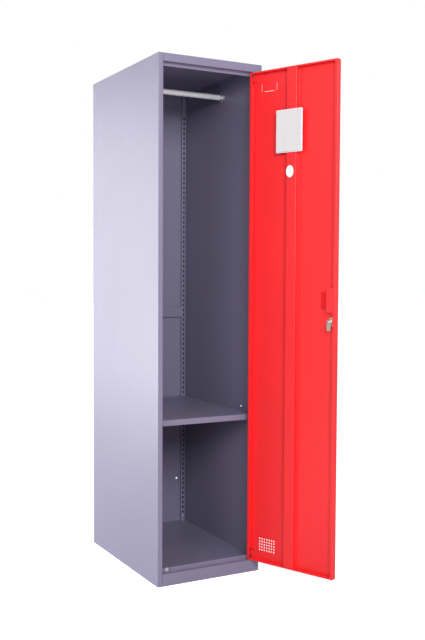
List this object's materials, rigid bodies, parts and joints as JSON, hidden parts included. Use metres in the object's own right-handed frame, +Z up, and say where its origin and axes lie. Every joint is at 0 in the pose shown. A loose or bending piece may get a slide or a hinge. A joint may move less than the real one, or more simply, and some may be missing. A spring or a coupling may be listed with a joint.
{
  "type": "school locker",
  "caption": "Tall single-door school locker: folded-steel cabinet with slotted uprights, shelf and hanging rail, and a hinged door with mirror, recessed pull and cam lock.",
  "frame": {"origin": "centre of the base, on the floor", "axes": "+Z up, -Y towards the door's side, +X towards the hinge side"},
  "size_m": [0.5081, 0.9242, 1.8],
  "materials": {
    "cabinet_paint": "semi-gloss grey powder coat with a faint violet cast",
    "door_paint": "semi-gloss bright red powder coat",
    "rail_chrome": "bright chromed tube",
    "socket_zinc": "dull zinc die casting",
    "screw_zinc": "bright zinc plate",
    "rivet_steel": "dark steel rivets",
    "bush_nylon": "natural nylon",
    "buffer_rubber": "grey rubber",
    "white_plastic": "white moulded plastic",
    "mirror_glass": "silvered glass",
    "lock_metal": "worn nickel over brass"
  },
  "bodies": {
    "cabinet": {"left_side_panel": "cabinet_paint", "right_side_panel": "cabinet_paint", "roof_panel": "cabinet_paint", "floor_panel": "cabinet_paint", "header_rail": "cabinet_paint", "plinth_rail": "cabinet_paint", "lower_back_panel": "cabinet_paint", "upper_back_panel": "cabinet_paint", "back_cross_rail": "cabinet_paint", "rear_upright_left": "cabinet_paint", "rear_upright_right": "cabinet_paint", "front_upright_left": "cabinet_paint", "front_upright_right": "cabinet_paint", "hanging_rail": "rail_chrome", "rail_socket_left": "socket_zinc", "rail_socket_right": "socket_zinc", "rail_socket_screws": "screw_zinc", "upright_screws": "screw_zinc", "shelf_clips_rear": "screw_zinc", "shelf_clips_front": "screw_zinc", "header_hinge_bush": "bush_nylon", "plinth_hinge_bush": "bush_nylon", "door_buffer": "buffer_rubber"},
    "door": {"door_panel": "door_paint", "door_stiffener": "door_paint", "handle_cup": "door_paint", "hinge_plate_upper": "door_paint", "hinge_plate_lower": "door_paint", "hinge_plate_rivets": "rivet_steel", "hinge_pin_upper": "screw_zinc", "hinge_pin_lower": "screw_zinc", "mirror_holder": "white_plastic", "mirror_glass": "mirror_glass", "number_disc": "white_plastic", "lock_barrel": "lock_metal", "lock_nut": "lock_metal"},
    "lock": {"lock_plug": "lock_metal", "lock_cam": "screw_zinc", "lock_cam_screw": "screw_zinc"},
    "shelf": {"shelf": "cabinet_paint"}
  },
  "joints": [
    {"name": "door_swing", "type": "hinge", "parent": "cabinet", "child": "door", "pos_m": [0.1715, -0.294, 0.9], "axis": [0, 0, 1], "range_deg": [-112, 6]},
    {"name": "lock_turn", "type": "hinge", "parent": "door", "child": "lock", "pos_m": [0.29122, -0.60101, 0.909], "axis": [-0.9272, -0.3746, 0], "range_deg": [0, 90]},
    {"name": "shelf_lift", "type": "slide", "parent": "cabinet", "child": "shelf", "axis": [0, 0, 1], "range_m": [0, 0.3]}
  ]
}
